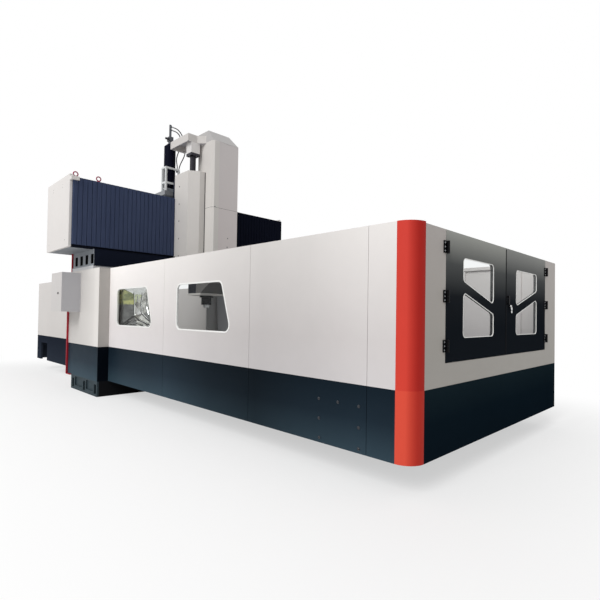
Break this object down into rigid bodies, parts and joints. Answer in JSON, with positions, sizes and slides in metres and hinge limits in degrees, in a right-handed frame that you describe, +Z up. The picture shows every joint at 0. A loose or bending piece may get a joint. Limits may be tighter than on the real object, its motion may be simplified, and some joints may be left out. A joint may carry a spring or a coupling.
{
  "type": "gantry milling machine",
  "caption": "Fixed-gantry milling machine: sliding saddle and spindle head on a bellows-covered crossbeam, two columns, bed, slotted table and a windowed guard with hinged front doors.",
  "frame": {"origin": "on the floor, on the guard's centre plane, halfway along the guard; the bed stands on it", "axes": "+X out of the front doors along the machine, +Y across the machine towards its right side, +Z up"},
  "size_m": [10.884, 4.899, 5.4],
  "materials": {
    "guard_grey": "satin",
    "guard_beige": "satin",
    "slate": "satin",
    "red_upper": "satin",
    "red_lower": "satin",
    "door_black": "satin",
    "pane": "clear",
    "casting": "painted",
    "steel": "ground",
    "head_light": "satin",
    "navy": "satin",
    "bellows_cloth": "matt",
    "chrome_rod": "polished",
    "bar_white": "gloss",
    "bottle_grey": "satin",
    "hose_rubber": "matt"
  },
  "bodies": {
    "frame": {"back_panels": "red_upper", "beam_apron": "navy", "beam_caps": "guard_grey", "beam_rails": "steel", "bed": "casting", "cabinet": "guard_grey", "column_covers": "guard_grey", "column_skirts": "slate", "columns": "casting", "corner_post_lower": "red_lower", "corner_post_upper": "red_upper", "crossbeam": "casting", "door_hinges_fixed": "steel", "door_jambs": "guard_beige", "door_sill": "guard_beige", "end_skirt": "slate", "left_bellows": "bellows_cloth", "lifting_eyes": "red_upper", "rear_skirt": "slate", "rear_wall": "guard_grey", "right_bellows": "bellows_cloth", "splash_tray": "slate", "table": "casting", "wall_glass": "pane", "wall_panels": "guard_grey", "wall_skirts": "slate"},
    "saddle_unit": {"saddle": "navy", "saddle_covers": "head_light", "accumulator_bottle": "bottle_grey", "valve_head": "steel", "bottle_cage": "bar_white", "bottle_bracket": "casting", "hose_fitting": "steel", "upper_hose": "hose_rubber", "lower_hose": "hose_rubber"},
    "head": {"tower_lower": "head_light", "tower_upper": "head_light", "ram": "navy", "head_bottom_plate": "head_light", "arms": "casting", "balance_rods": "chrome_rod", "spindle_housing": "navy"},
    "spindle": {"spindle_nose": "steel"},
    "left_door_leaf": {"left_door": "door_black", "left_door_glass": "pane", "left_door_hinges": "steel"},
    "right_door_leaf": {"right_door": "door_black", "right_door_glass": "pane", "right_door_hinges": "steel", "door_handle": "door_black"},
    "cabinet_lid": {"cabinet_door": "guard_grey"}
  },
  "joints": [
    {"name": "saddle_slide", "type": "slide", "parent": "frame", "child": "saddle_unit", "axis": [0, 1, 0], "range_m": [-0.95, 0.49], "deforming": ["left_bellows", "right_bellows"]},
    {"name": "head_slide", "type": "slide", "parent": "saddle_unit", "child": "head", "axis": [0, 0, 1], "range_m": [-0.3, 0.7]},
    {"name": "spindle_turn", "type": "hinge", "parent": "head", "child": "spindle", "pos_m": [-0.636, 0.23, 1.7], "axis": [0, 0, 1], "continuous": true},
    {"name": "left_door_hinge", "type": "hinge", "parent": "frame", "child": "left_door_leaf", "pos_m": [5.445, -1.3025, 1.6], "axis": [0, 0, -1], "range_deg": [0, 110]},
    {"name": "right_door_hinge", "type": "hinge", "parent": "frame", "child": "right_door_leaf", "pos_m": [5.445, 1.3865, 1.6], "axis": [0, 0, 1], "range_deg": [0, 110]},
    {"name": "cabinet_door_hinge", "type": "hinge", "parent": "frame", "child": "cabinet_lid", "pos_m": [-1.965, -2.314, 1.794], "axis": [0, 0, -1], "range_deg": [0, 110]}
  ]
}
